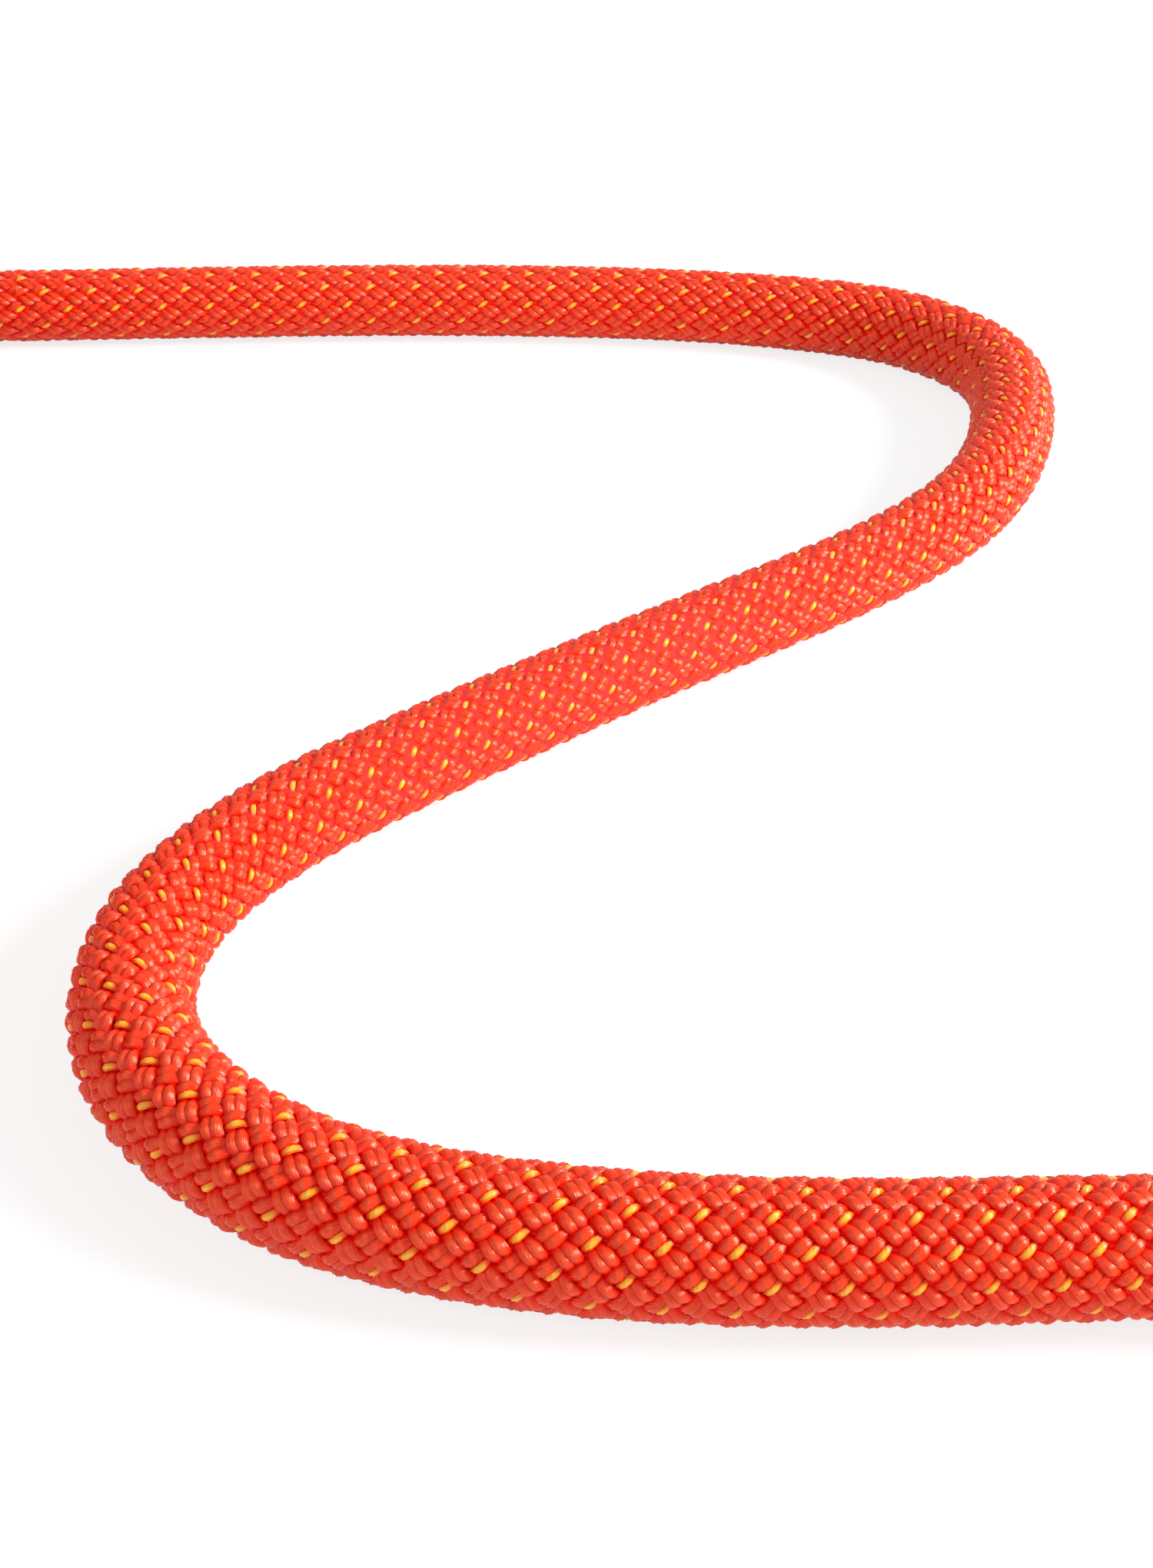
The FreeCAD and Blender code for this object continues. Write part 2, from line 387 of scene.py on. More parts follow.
def braidTree(inputs):
    tree, given, identifiers = newTree("braidedStrands", inputs)
    add = partial(addNode, tree)

    # one line for each yarn, and a tube round it
    line = add("GeometryNodeMeshToCurve", [given["Geometry"]])[0]
    amount = add(maths, [given["strands"], 2], operation="MULTIPLY")[0]
    copies = add("GeometryNodeDuplicateElements", {"Geometry": line, "Amount": amount}, domain="SPLINE")
    lines = add(storeAttribute, {
        "Geometry": copies["Geometry"], "Name": "yarn", "Value": copies["Duplicate Index"]},
        data_type="FLOAT", domain="CURVE")[0]
    ring = add("GeometryNodeCurvePrimitiveCircle", {"Resolution": given["sides"], "Radius": mm})[0]
    corner = add(maths, [add("GeometryNodeInputIndex")[0], 0.5], operation="ADD")[0]
    turned = add(maths, [corner, given["sides"]], operation="DIVIDE")[0]
    ring = add(storeAttribute, {"Geometry": ring, "Name": "around", "Value": turned},
               data_type="FLOAT", domain="POINT")[0]
    tubes = add("GeometryNodeCurveToMesh", {"Curve": lines, "Profile Curve": ring, "Fill Caps": True})[0]
    read = readGuide(tree, "stage", "girth", "around", "yarn")

    # which strand this yarn is in, and on which side of it
    step = add(maths, [180, given["strands"]], operation="DIVIDE")[0]
    half = add(maths, [read["yarn"], 2], operation="DIVIDE")[0]
    strand = add(maths, [half], operation="FLOOR")[0]
    ply = add(maths, [read["yarn"], 2], operation="MODULO")[0]
    ply = add(maths, [ply, 0.5], operation="SUBTRACT")[0]

    # on the left-hand strands, every second one has a tracer as one of its yarns, a little thinner
    place = add(maths, [read["yarn"], 4], operation="MODULO")[0]
    tracer = add(maths, [place, 1, 0.1], operation="COMPARE")[0]
    isLeft = add(maths, [given["hand"], 0], operation="LESS_THAN")[0]
    tracer = add(maths, [tracer, isLeft], operation="MULTIPLY")[0]
    size = add(mapRange, {"Value": tracer, "To Min": 1.0, "To Max": given["tracerSize"]})[0]
    halfAngle = add(maths, [given["yarnHalfAngle"], size], operation="MULTIPLY")[0]
    halfHeight = add(maths, [given["yarnHalfHeight"], size], operation="MULTIPLY")[0]

    # slow unevenness along each yarn; the noise keeps between about a quarter and three quarters
    lane = add(maths, [read["yarn"], braid["driftLane"]], operation="MULTIPLY")[0]
    layer = add(maths, [given["hand"], given["seed"]], operation="ADD")[0]
    place = add("ShaderNodeCombineXYZ", [read["stage"], lane, layer])[0]
    noise = add("ShaderNodeTexNoise", {"Vector": place, "Scale": braid["driftScale"], "Detail": 1.0},
                noise_dimensions="3D")["Fac"]
    drift = add(mapRange, {"Value": noise, "From Min": 0.25, "From Max": 0.75, "To Min": -1, "To Max": 1})[0]
    sway = add(maths, [drift, given["sway"]], operation="MULTIPLY")[0]
    swell = add(maths, [drift, given["uneven"]], operation="MULTIPLY")[0]

    # round the yarn's own section, from its underside
    turn = add(maths, [read["around"], -2 * math.pi], operation="MULTIPLY")[0]
    gather = add(maths, [turn], operation="SINE")[0]
    turn = add(maths, [gather, given["crowding"], turn], operation="MULTIPLY_ADD")[0]
    turn = add(maths, [turn, math.pi / 2], operation="SUBTRACT")[0]
    across = add(maths, [turn], operation="COSINE")[0]
    across = add(maths, [across, halfAngle, sway], operation="MULTIPLY_ADD")[0]
    across = add(maths, [ply, given["plyAngle"], across], operation="MULTIPLY_ADD")[0]
    up = add(maths, [turn], operation="SINE")[0]

    # over and under: a cosine with its crests made level
    strandAngle = add(maths, [step, 2], operation="MULTIPLY")[0]
    crossing = add(maths, [across, strandAngle], operation="DIVIDE")[0]
    crossing = add(maths, [crossing, given["hand"]], operation="MULTIPLY")[0]
    phase = add(maths, [read["stage"], crossing], operation="SUBTRACT")[0]
    phase = add(maths, [phase, math.pi], operation="MULTIPLY")[0]
    wave = add(maths, [phase], operation="COSINE")[0]
    third = add(maths, [phase, 3], operation="MULTIPLY")[0]
    third = add(maths, [third], operation="COSINE")[0]
    levelled = add(maths, [third, given["flatness"]], operation="MULTIPLY")[0]
    wave = add(maths, [wave, levelled], operation="SUBTRACT")[0]
    remaining = add(maths, [1, given["flatness"]], operation="SUBTRACT")[0]
    wave = add(maths, [wave, remaining], operation="DIVIDE")[0]
    wave = add(maths, [wave, given["hand"]], operation="MULTIPLY")[0]
    least = add(maths, [1, given["squeeze"]], operation="SUBTRACT")[0]
    spread = add(mapRange, {"Value": wave, "From Min": -1.0, "To Min": least})[0]
    across = add(maths, [across, spread], operation="MULTIPLY")[0]
    lift = add(maths, [wave, given["wave"]], operation="MULTIPLY")[0]
    lift = add(maths, [up, halfHeight, lift], operation="MULTIPLY_ADD")[0]
    reach = add(maths, [given["wave"], given["yarnHalfHeight"]], operation="ADD")[0]
    crown = add(maths, [lift, reach], operation="DIVIDE", use_clamp=True)[0]
    radius = add(maths, [lift, given["middleRadius"]], operation="ADD")[0]
    radius = add(maths, [radius, swell], operation="ADD")[0]
    radius = add(maths, [radius, read["girth"]], operation="MULTIPLY")[0]

    # round the rope
    handed = add(maths, [given["hand"], read["stage"]], operation="MULTIPLY")[0]
    doubled = add(maths, [strand, 2], operation="MULTIPLY")[0]
    steps = add(maths, [doubled, handed], operation="SUBTRACT")[0]
    angle = add(maths, [steps, step, across], operation="MULTIPLY_ADD")[0]
    angle = add(maths, [angle, given["roll"]], operation="ADD")[0]
    crowned = add(storeAttribute, {"Geometry": tubes, "Name": "crown", "Value": crown},
                  data_type="FLOAT", domain="POINT")[0]
    placed = placeRound(tree, read, crowned, angle, radius)

    # mapped along and round each yarn, for its filaments; its cut ends stay flat
    along = add(maths, [read["yarn"], braid["mapGap"], read["stage"]], operation="MULTIPLY_ADD")[0]
    mapped = mapOutwards(tree, placed, along, read["around"])
    corners = add("GeometryNodeInputMeshFaceNeighbors")["Vertex Count"]
    isSide = add("FunctionNodeCompare", [None, None, corners, 4], data_type="INT", operation="EQUAL")[0]
    finishTree(tree, mapped, isSide, (None, given["yarn"]), (tracer, given["tracer"]))
    return tree, identifiers


# Yarn: continuous polyamide filament, lightly twisted. It looks silky: a soft pale sheen on each crest,
# and a deep, saturated red between the crests, where light has passed through other yarns; that red is
# painted light in the yarn's colour.
yarn = {
    # painted light: the creases are painted a purer, brighter red than the crests, for light that has passed
    # through other yarns
    "red": ((0.0, "#FF0200"), (0.5, "#E01802"), (1.0, "#D83204")),
    "yellow": ((0.4, "#E41800"), (0.6, "#EA7A08"), (0.85, "#F0BC3C")),  # painted red light at its ends, where other yarns lie over it
    "roughness": 0.36,
    "ior": 1.53,
    "brushed": 0.85,            # how far the gloss is drawn out across the filaments
    "brushTurn": 0.25,          # of a turn, from along the filaments to across them
    "gloss": (1.0, 0.84, 0.55, 1.0),    # a warm tint, as light glances through the dyed filaments
    "glossLevel": 0.55,
    "filamentsRound": 20.0,     # a filament measures 0.03 mm; drawn 0.15 mm wide so that it shows
    "filamentsAlong": 1.1,      # to a stage, so that each shows for a little under one
    "twist": 0.22,              # turns of the yarn in a stage
    "streaks": (0.3, 0.7),      # the noise that makes the darkest and the lightest filaments
    "streakShades": (0.85, 1.12),
    "bump": 0.06 * mm,
}


def newMaterial(name):
    material = bpy.data.materials.new(name)
    material.use_nodes = True
    return material, material.node_tree, material.node_tree.nodes["Principled BSDF"]


def plainMaterial(name, colour, roughness):
    material, tree, surface = newMaterial(name)
    setInputs(tree, surface, {"Base Color": toLinear(colour), "Roughness": roughness})
    return material


def readMap(tree):
    # where a spot is on its piece's own map
    return addNode(tree, "ShaderNodeSeparateXYZ", [addNode(tree, "ShaderNodeUVMap", uv_map="UVMap")[0]])


def dyeAndPaintedLight(tree, crown, streaks, shades):
    # colour by how high on the crest, with painted light and shade in the creases, and lighter and darker
    # filaments
    dye = addNode(tree, "ShaderNodeValToRGB", [crown])[0]
    stops = dye.node.color_ramp.elements
    stops.new(0.5)
    for stop, (place, colour) in zip(stops, shades):
        stop.position = place
        stop.color = toLinear(colour)
    low, high = yarn["streaks"]
    dark, light = yarn["streakShades"]
    lightness = addNode(tree, mapRange, {
        "Value": streaks, "From Min": low, "From Max": high, "To Min": dark, "To Max": light})[0]
    return addNode(tree, vectorMaths, {0: dye, "Scale": lightness}, operation="SCALE")[0]


def finishYarn(tree, surface, colour, height, depth, roughness):
    relief = addNode(tree, "ShaderNodeBump", {"Height": height, "Strength": 1.0, "Distance": depth})[0]
    setInputs(tree, surface, {
        "Base Color": colour, "Normal": relief, "Roughness": roughness, "IOR": yarn["ior"],
        "Specular Tint": yarn["gloss"], "Specular IOR Level": yarn["glossLevel"],
    })


def yarnMaterial(name, shades):
    material, tree, surface = newMaterial(name)
    add = partial(addNode, tree)
    place = readMap(tree)
    twisted = add(maths, [place["X"], yarn["twist"], place["Y"]], operation="MULTIPLY_ADD")[0]
    around = add(maths, [twisted, yarn["filamentsRound"]], operation="MULTIPLY")[0]
    along = add(maths, [place["X"], yarn["filamentsAlong"]], operation="MULTIPLY")[0]
    lanes = add("ShaderNodeCombineXYZ", [along, around, 0.0])[0]
    streaks = add("ShaderNodeTexNoise", {"Vector": lanes, "Scale": 1.0, "Detail": 1.0},
                  noise_dimensions="2D")["Fac"]
    crown = add("ShaderNodeAttribute", attribute_name="crown")["Fac"]
    colour = dyeAndPaintedLight(tree, crown, streaks, shades)
    finishYarn(tree, surface, colour, streaks, yarn["bump"], yarn["roughness"])

    # bundled filaments mirror a lamp as a band across the yarn, where the yarn faces halfway to the lamp
    filaments = add("ShaderNodeTangent", direction_type="UV_MAP", uv_map="UVMap")[0]
    setInputs(tree, surface, {
        "Anisotropic": yarn["brushed"], "Anisotropic Rotation": yarn["brushTurn"], "Tangent": filaments})
    return material


dyedYarn = yarnMaterial("dyedPolyamideYarn", yarn["red"])
tracerYarn = yarnMaterial("yellowPolyamideYarn", yarn["yellow"])
ropeBody.data.materials.append(plainMaterial("underTheBraid", rope["basePaintedLight"], rope["baseRoughness"]))


def makeBraid():
    sizes = ("strands", "middleRadius", "wave", "flatness", "squeeze", "yarnHalfHeight", "yarnHalfAngle",
             "plyAngle", "tracerSize", "roll", "sides", "crowding", "uneven", "sway", "seed")
    inputs = {"hand": 1.0, "yarn": dyedYarn, "tracer": tracerYarn, **{size: braid[size] for size in sizes}}
    tree, identifiers = braidTree(inputs)
    firstStage = float(np.interp(braid["start"], stageAlong, stageCount))
    lastStage = float(np.interp(braidEnd, stageAlong, stageCount))
    cuts = np.linspace(math.ceil(firstStage), math.floor(lastStage), braid["sections"] + 1).round()
    pieces = []
    for hand, label in ((1.0, "right"), (-1.0, "left")):
        inputs["hand"] = hand
        for section in range(braid["sections"]):
            count = int((cuts[section + 1] - cuts[section]) * braid["ringsPerStage"])
            stages = np.linspace(cuts[section], cuts[section + 1], count + 1)
            name = "sheath_" + label + "_strands_" + str(section + 1)
            pieces.append(grow(name, ropeGuide(name, stages), tree, identifiers, inputs))
    return pieces, cuts[-1]


# The three ties that hold the coil: woven polyamide tape, matt, with a fine grain, sewn with pale thread.
# One of them hides where the braid's strands end and the coil's skin starts.
tie = {
    "angles": (15.0, 135.0, 255.0),
    "hidesJoint": 135.0,
    "width": 16.0 * mm,
    "thickness": 1.2 * mm,
    "clearance": 0.3 * mm,
    "edgeRadius": 0.5 * mm,
    "edgeSteps": 3,
    "tail": 26.0 * mm,          # lapped over the tape's own top
    "tailRamp": 4.0 * mm,
    "ringSpacing": 0.4 * mm,
    "arcStep": 6.0,             # degrees
    "besideTape": 2.0 * mm,     # the rope's middles up to this far past the tape's edges count as under it
    "topDepth": 2.0 * mm,       # the loop's top is what lies within this of its highest point
    "grid": 0.05,               # mm, to which the rope's middles are rounded
    "ribPitch": 1.6 * mm,       # of the weave's ridges across the tape
    "ribHeight": 0.07 * mm,
    "warpPitch": 0.8 * mm,      # of the threads along the tape
    "weaveDepth": 0.15 * mm,
    "tapeColours": ("#202226", "#3A3D43"),
    "tapeRoughness": 0.8,
    "tapeSheen": 0.2,
    "stitchBox": (18.0 * mm, 10.0 * mm),
    "stitchPitch": 2.6 * mm,
    "stitchLength": 2.0 * mm,
    "stitchRadius": 0.24 * mm,
    "stitchRise": 1.5,          # tape thicknesses above the loop's middle, so on top of its tail
    "threadColour": "#C9C6BE",
    "threadRoughness": 0.6,
}


def lineDistanceAtAngle(degrees):
    # how far along the rope its first coil turn reaches this angle
    angles = np.degrees(np.arctan2(ropeLine[:, 1], ropeLine[:, 0])) % 360
    inTurn = (lineAlong > rope["coilFrom"]) & (lineAlong < rope["firstTurnTo"])
    return float(lineAlong[np.argmin(np.where(inTurn, np.abs(angles - degrees), np.inf))])


braidEnd = lineDistanceAtAngle(tie["hidesJoint"])
print("braid ends at", round(braidEnd, 4))
braidPieces, jointStage = makeBraid()
print("stage: braid")


# The coiled sheath: the same braid as one closed skin, a point on each crest and in each crease
coilSkin = {
    "crestRadius": 4.86 * mm,
    "creaseRadius": 4.42 * mm,
    "sections": 2,
    "overlap": 1,               # stages shared with the braid, under the tie
    "underSleeve": 14.0 * mm,   # how far it runs in under the back sleeve
    "farColumn": 5,             # a face on the first column whose mean is past this closes the ring
    "red": ((0.0, "#5E0300"), (0.5, "#C81402"), (1.0, "#DC3606")),  # darker in the creases, which hold shade
    "roughness": 0.55,
    "bump": 0.45 * mm,
    "yarnDrop": 0.45,           # how much lower a yarn's edges are drawn than its middle
    "endDrop": 0.55,            # how much lower a strand is drawn where it dives
    "filamentsAcross": 22,      # to a strand
    "filamentRelief": 0.12,     # as a share of a crest's
    "tracerFade": -2.2,         # how fast a tracer turns to painted red light towards its ends
}


def coilTree(inputs):
    tree, given, identifiers = newTree("coiledSheath", inputs)
    add = partial(addNode, tree)
    line = add("GeometryNodeMeshToCurve", [given["Geometry"]])[0]
    ring = add("GeometryNodeCurvePrimitiveCircle", {"Resolution": given["columns"], "Radius": mm})[0]
    index = add("GeometryNodeInputIndex")[0]
    ring = add(storeAttribute, {"Geometry": ring, "Name": "column", "Value": index},
               data_type="FLOAT", domain="POINT")[0]
    tube = add("GeometryNodeCurveToMesh", {"Curve": line, "Profile Curve": ring, "Fill Caps": True})[0]
    read = readGuide(tree, "stage", "column")

    # crests where stage and column are both even or both odd
    cell = add(maths, [read["stage"], read["column"]], operation="ADD")[0]
    cell = add(maths, [cell], operation="ROUND")[0]
    parity = add(maths, [cell, 2], operation="MODULO")[0]
    radius = add(mapRange, {
        "Value": parity, "To Min": given["crestRadius"], "To Max": given["creaseRadius"]})[0]
    step = add(maths, [360, given["columns"]], operation="DIVIDE")[0]
    angle = add(maths, [read["column"], step, given["roll"]], operation="MULTIPLY_ADD")[0]
    placed = placeRound(tree, read, tube, angle, radius)

    # each square is cut from crease to crease, so that its crests stand up
    middles = [add("GeometryNodeFieldOnDomain", [read[label]], data_type="FLOAT", domain="FACE")[0]
               for label in ("stage", "column")]
    floors = [add(maths, [middle], operation="FLOOR")[0] for middle in middles]
    square = add(maths, floors, operation="ADD")[0]
    isOdd = add(maths, [square, 2], operation="MODULO")[0]
    isOdd = add(maths, [isOdd, 0.5], operation="GREATER_THAN")[0]
    cut = add("GeometryNodeTriangulate", {"Mesh": placed, "Selection": isOdd}, quad_method="FIXED")[0]
    cut = add("GeometryNodeTriangulate", {"Mesh": cut}, quad_method="FIXED_ALTERNATE")[0]

    # the map is stage by column; where the ring closes, the first column counts as one past the last
    isFar = add(maths, [middles[1], coilSkin["farColumn"]], operation="GREATER_THAN")[0]
    isFirst = add(maths, [read["column"], 0.5], operation="LESS_THAN")[0]
    closes = add(maths, [isFar, isFirst], operation="MULTIPLY")[0]
    column = add(maths, [closes, given["columns"], read["column"]], operation="MULTIPLY_ADD")[0]
    mapped = mapOutwards(tree, cut, read["stage"], column)
    finishTree(tree, mapped, True, (None, given["sheath"]))
    return tree, identifiers


def coilMaterial():
    # the braid's strands, yarns and tracers, drawn on the stage-by-column map
    material, tree, surface = newMaterial("coiledPolyamideBraid")
    add = partial(addNode, tree)
    place = readMap(tree)
    cells = []
    for operation in ("ADD", "SUBTRACT"):
        both = add(maths, [place["X"], place["Y"]], operation=operation)[0]
        lane = add(maths, [both, 0.5], operation="MULTIPLY")[0]
        whole = add(maths, [lane], operation="ROUND")[0]
        cells.append((whole, add(maths, [lane, whole], operation="SUBTRACT")[0]))
    (rightLane, rightPart), (leftLane, leftPart) = cells
    tile = add(maths, [rightLane, leftLane], operation="ADD")[0]
    isLeft = add(maths, [tile, 2], operation="MODULO")[0]
    across = add("ShaderNodeMix", {0: isLeft, 2: rightPart, 3: leftPart}, data_type="FLOAT")[0]
    along = add("ShaderNodeMix", {0: isLeft, 2: leftPart, 3: rightPart}, data_type="FLOAT")[0]

    # two yarns side by side, each highest in its middle, and both lowest where the strand dives
    aside = add(maths, [across], operation="ABSOLUTE")[0]
    yarnPart = add(maths, [aside, 4, -1], operation="MULTIPLY_ADD")[0]
    yarnPart = add(maths, [yarnPart, 2], operation="POWER")[0]
    endPart = add(maths, [along, 2], operation="MULTIPLY")[0]
    endPart = add(maths, [endPart, endPart], operation="MULTIPLY")[0]
    drop = add(maths, [yarnPart, coilSkin["yarnDrop"]], operation="MULTIPLY")[0]
    drop = add(maths, [endPart, coilSkin["endDrop"], drop], operation="MULTIPLY_ADD")[0]
    crown = add(maths, [1, drop], operation="SUBTRACT", use_clamp=True)[0]

    # filaments run along each yarn
    twisted = add(maths, [across, coilSkin["filamentsAcross"], along], operation="MULTIPLY_ADD")[0]
    lanes = add("ShaderNodeCombineXYZ", [along, twisted, tile])[0]
    streaks = add("ShaderNodeTexNoise", {"Vector": lanes, "Scale": 1.0, "Detail": 1.0},
                  noise_dimensions="3D")["Fac"]
    height = add(maths, [streaks, coilSkin["filamentRelief"], crown], operation="MULTIPLY_ADD")[0]

    # a tracer is one yarn of every second left-hand strand, thinner than the others, and painted red towards
    # its ends, for red light from the yarns over it
    evenLane = add(maths, [leftLane, 2], operation="MODULO")[0]
    evenLane = add(maths, [evenLane, 0.5], operation="LESS_THAN")[0]
    oneYarn = add(maths, [across, 0.25, 0.25 * braid["tracerSize"]], operation="COMPARE")[0]
    tracer = add(maths, [evenLane, isLeft], operation="MULTIPLY")[0]
    tracer = add(maths, [tracer, oneYarn], operation="MULTIPLY")[0]
    fromMiddle = add(maths, [along], operation="ABSOLUTE")[0]
    tracerCrown = add(maths, [fromMiddle, coilSkin["tracerFade"], 1.0], operation="MULTIPLY_ADD")[0]
    # painted shade: the ramp paints the creases dark and the crests light
    red = dyeAndPaintedLight(tree, crown, streaks, coilSkin["red"])
    yellow = dyeAndPaintedLight(tree, tracerCrown, streaks, yarn["yellow"])
    colour = add("ShaderNodeMix", {0: tracer, 6: red, 7: yellow}, data_type="RGBA")[2]
    finishYarn(tree, surface, colour, height, coilSkin["bump"], coilSkin["roughness"])
    return material


def makeCoilSkin():
    inputs = {"columns": braid["strands"] * 2, "crestRadius": coilSkin["crestRadius"],
              "creaseRadius": coilSkin["creaseRadius"], "roll": braid["roll"], "sheath": coilMaterial()}
    tree, identifiers = coilTree(inputs)
    lastStage = math.floor(np.interp(ropeLength - coilSkin["underSleeve"], stageAlong, stageCount))
    cuts = np.linspace(jointStage - coilSkin["overlap"], lastStage, coilSkin["sections"] + 1).round()
    pieces = []
    for section in range(coilSkin["sections"]):
        stages = np.arange(cuts[section], cuts[section + 1] + 1)
        name = "sheath_coil_skin_" + str(section + 1)
        pieces.append(grow(name, ropeGuide(name, stages), tree, identifiers, inputs))
    return pieces


coilPieces = makeCoilSkin()
print("stage: coiled sheath")


# The rope's two ends: yarns melted into a lump, under a heat-shrunk sleeve that takes the braid's print.
# Each outline is in mm: along the rope from the end of its line, and out from its middle.
ends = {
    "seal": ((-0.6, 0.0), (-0.6, 4.5), (-0.1, 4.85), (0.8, 4.9), (1.2, 4.75), (1.45, 4.3), (1.42, 3.4),
             (1.25, 2.2), (1.3, 1.0), (1.34, 0.0)),
    "sealSteps": 3,             # points in each stretch of the outline
    "sealLumps": 0.10,          # mm
    # lumps round the seal, with their start and their lean for each mm, both in radians
    "lumpWaves": ((3, 1, 0), (7, 0, 2.5)),
    "sleeveBack": ((-22.2, 5.0), (-22.45, 5.05), (-22.5, 5.17), (-22.4, 5.28), (-22.0, 5.33)),
    "sleeveFront": ((0.9, 5.34), (1.3, 5.27), (1.48, 5.15), (1.45, 5.03), (1.2, 5.0)),
    "sleeveSpacing": 0.3,       # mm between rings
    "sleevePrint": 0.06,        # mm, how far the braid's crests show through
    "around": 96,
    "closest": 0.001 * mm,      # points nearer than this are joined
    "sleeveFinish": ("#26272A", 0.38),  # shrunk polyolefin: near black, with a soft gloss
    "sealFinish": ("#7E1A10", 0.30),    # melted polyamide: darker than the yarn, and glassy
}
printedSleeve = plainMaterial("shrunkPolyolefinSleeve", *ends["sleeveFinish"])
meltedYarn = plainMaterial("meltedPolyamideYarn", *ends["sealFinish"])


def turnedPiece(name, face, outwards, outline, closed, material):
    # an outline turned round the rope; its print or lumps come from the function that is its third value
    side = outwards.cross(Vector((0, 0, 1))).normalized()
    rise = side.cross(outwards)
    shape = bmesh.new()
    rings = []
    for along, radius, relief in outline:
        ring = []
        for index in range(ends["around"]):
            turn = 2 * math.pi * index / ends["around"]
            across = side * math.cos(turn) + rise * math.sin(turn)
            reach = max(radius + relief(along, turn), 0.0)
            ring.append(shape.verts.new(face + (outwards * along + across * reach) * mm))
        rings.append(ring)
    for ring, following in zip(rings, rings[1:] + ([rings[0]] if closed else [])):
        for index in range(ends["around"]):
            beside = (index + 1) % ends["around"]
            shape.faces.new((ring[index], ring[beside], following[beside], following[index]))
    bmesh.ops.remove_doubles(shape, verts=shape.verts, dist=ends["closest"])
    bmesh.ops.recalc_face_normals(shape, faces=shape.faces)
    mesh = bpy.data.meshes.new(name)
    shape.to_mesh(mesh)
    shape.free()
    mesh.materials.append(material)
    mesh.shade_smooth()
    return newObject(name, mesh)


def braidPrint(along, turn):
    # highest over each crest of the braid beneath
    stage = -2 * along / braid["alongRope"][0][1]
    column = math.degrees(turn) / (180 / braid["strands"])
    crest = math.cos(math.pi * (stage + column) / 2) * math.cos(math.pi * (stage - column) / 2)
    return ends["sleevePrint"] * (abs(crest) - 0.5)


def meltLumps(along, turn):
    waves = [math.sin(count * turn + start + lean * along) for count, start, lean in ends["lumpWaves"]]
    return ends["sealLumps"] * sum(waves) / len(waves)


def noRelief(along, turn):
    return 0.0


def stretch(first, last, count, relief):
    # the points from one corner of an outline up to the next, with their relief
    shares = [step / count for step in range(count)]
    return [(*(a + (b - a) * share for a, b in zip(first, last)), relief) for share in shares]


def makeEnds():
    seal, back, front = ends["seal"], ends["sleeveBack"], ends["sleeveFront"]
    pieces = []
    for label, face, inside in (("front", ropeLine[0], ropeLine[1]), ("back", ropeLine[-1], ropeLine[-2])):
        face = Vector(face)
        outwards = (face - Vector(inside)).normalized()
        outline = []
        for first, last in zip(seal, seal[1:]):
            outline += stretch(first, last, ends["sealSteps"], meltLumps if first[1] > 0 else noRelief)
        outline.append((*seal[-1], noRelief))
        pieces.append(turnedPiece("end_seal_" + label + "_melt", face, outwards, outline, False, meltedYarn))
        count = int((front[0][0] - back[-1][0]) / ends["sleeveSpacing"])
        outline = [(*corner, noRelief) for corner in back]
        outline += stretch(back[-1], front[0], count, braidPrint)[1:]
        outline += [(*corner, noRelief) for corner in front]
        name = "end_sleeve_" + label + "_shrunk"
        pieces.append(turnedPiece(name, face, outwards, outline, True, printedSleeve))
    return pieces


endPieces = makeEnds()
print("stage: ends")


def towards(degrees):
    return np.array((math.cos(math.radians(degrees)), math.sin(math.radians(degrees))))


def bundleCorners(degrees):
    # the rope's middles that stick out furthest under a tie, seen along the coil, anticlockwise
    along = towards(degrees)
    aside = np.array((-along[1], along[0]))
    inCoil = (lineAlong > rope["coilFrom"]) & (ropeLine[:, :2] @ along > 0)
    isUnder = np.abs(ropeLine[:, :2] @ aside) <= tie["width"] / 2 + tie["besideTape"]
    under = ropeLine[inCoil & isUnder]
    middles = np.stack([under[:, :2] @ along, under[:, 2]], 1)
    middles = np.unique((middles / (tie["grid"] * mm)).round(), axis=0) * tie["grid"] * mm
    chains = []
    for line in (middles, middles[::-1]):
        chain = []
        for point in line:
            while len(chain) > 1 and np.cross(chain[-1] - chain[-2], point - chain[-2]) <= 0:
                chain.pop()
            chain.append(point)
        chains += chain[:-1]
    return chains


def tapeLoop(corners, reach):
    # the tape's middle line, pulled tight: round each corner at this distance, and straight between them
    points = []
    for index, corner in enumerate(corners):
        following = corners[(index + 1) % len(corners)]
        before = math.atan2(*(corner - corners[index - 1])[::-1])
        after = math.atan2(*(following - corner)[::-1])
        turn = (after - before) % (2 * math.pi)
        steps = math.ceil(turn / math.radians(tie["arcStep"]))
        for step in range(steps + 1):
            facing = before - math.pi / 2 + turn * step / steps
            points.append(corner + reach * np.array((math.cos(facing), math.sin(facing))))
        start, stop = points[-1], points[-1] + following - corner
        count = max(round(np.linalg.norm(stop - start) / tie["ringSpacing"]), 1)
        points += [start + (stop - start) * step / count for step in range(1, count)]
    return np.array(points)


